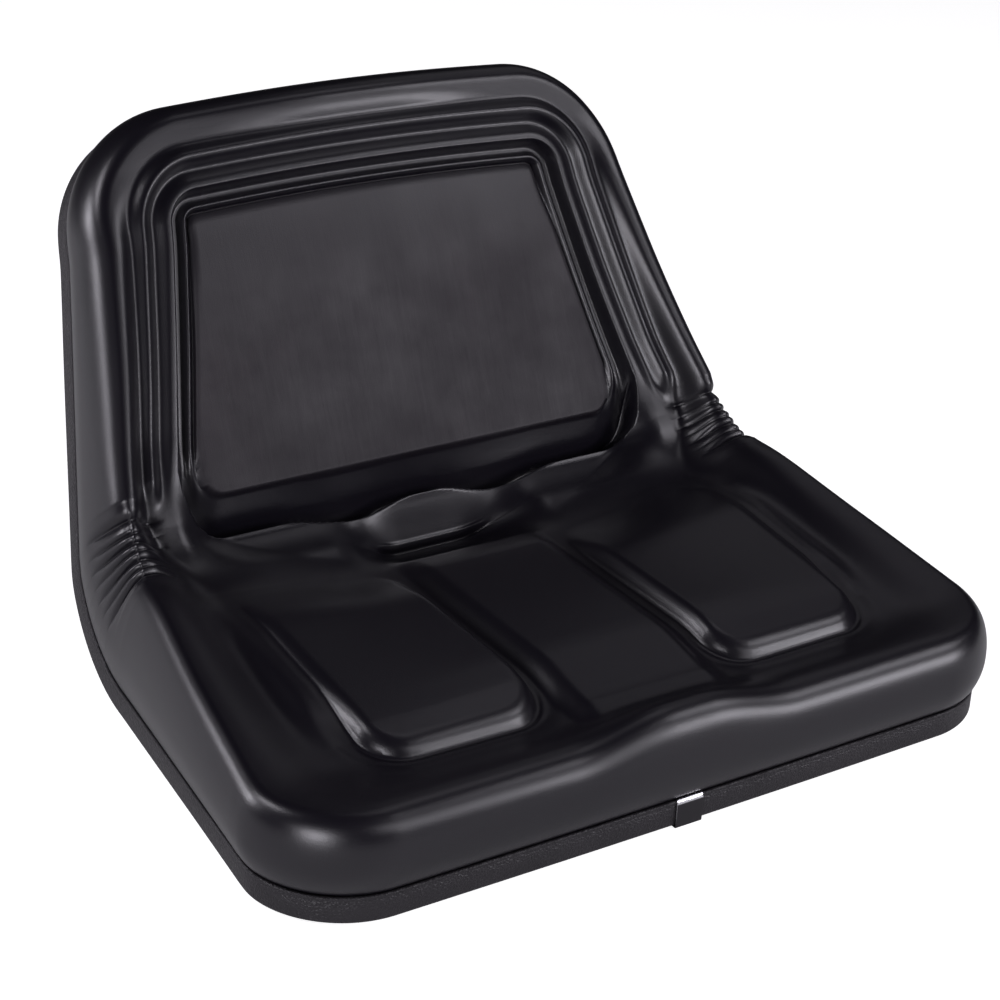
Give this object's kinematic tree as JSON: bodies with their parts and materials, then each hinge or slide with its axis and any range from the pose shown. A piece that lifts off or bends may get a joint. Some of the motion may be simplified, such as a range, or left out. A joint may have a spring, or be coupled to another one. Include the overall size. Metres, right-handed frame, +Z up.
{
  "type": "bucket seat",
  "caption": "Low-back bucket seat of moulded foam skin on a bent steel pan, bolted from below to a lawn tractor or garden machine.",
  "frame": {"origin": "middle of the bounding box, on the surface that the seat stands on", "axes": "+Z up, -Y the way the sitter faces, +X to the right as seen from in front"},
  "size_m": [0.48, 0.4322, 0.3064],
  "materials": {
    "skin": "black vinyl skin of the foam, satin, with a fine grain",
    "pan_steel": "pressed sheet, black paint, semi-matt",
    "trim": "soft black extrusion with a leather grain",
    "clip_metal": "plain bright strip",
    "nut_metal": "zinc plated"
  },
  "bodies": {
    "root": {"seat_cushion": "skin", "seat_pan": "pan_steel", "edge_trim": "trim", "trim_clip": "clip_metal", "nut_front_left": "nut_metal", "nut_front_right": "nut_metal", "nut_rear_left": "nut_metal", "nut_rear_right": "nut_metal"}
  },
  "joints": []
}
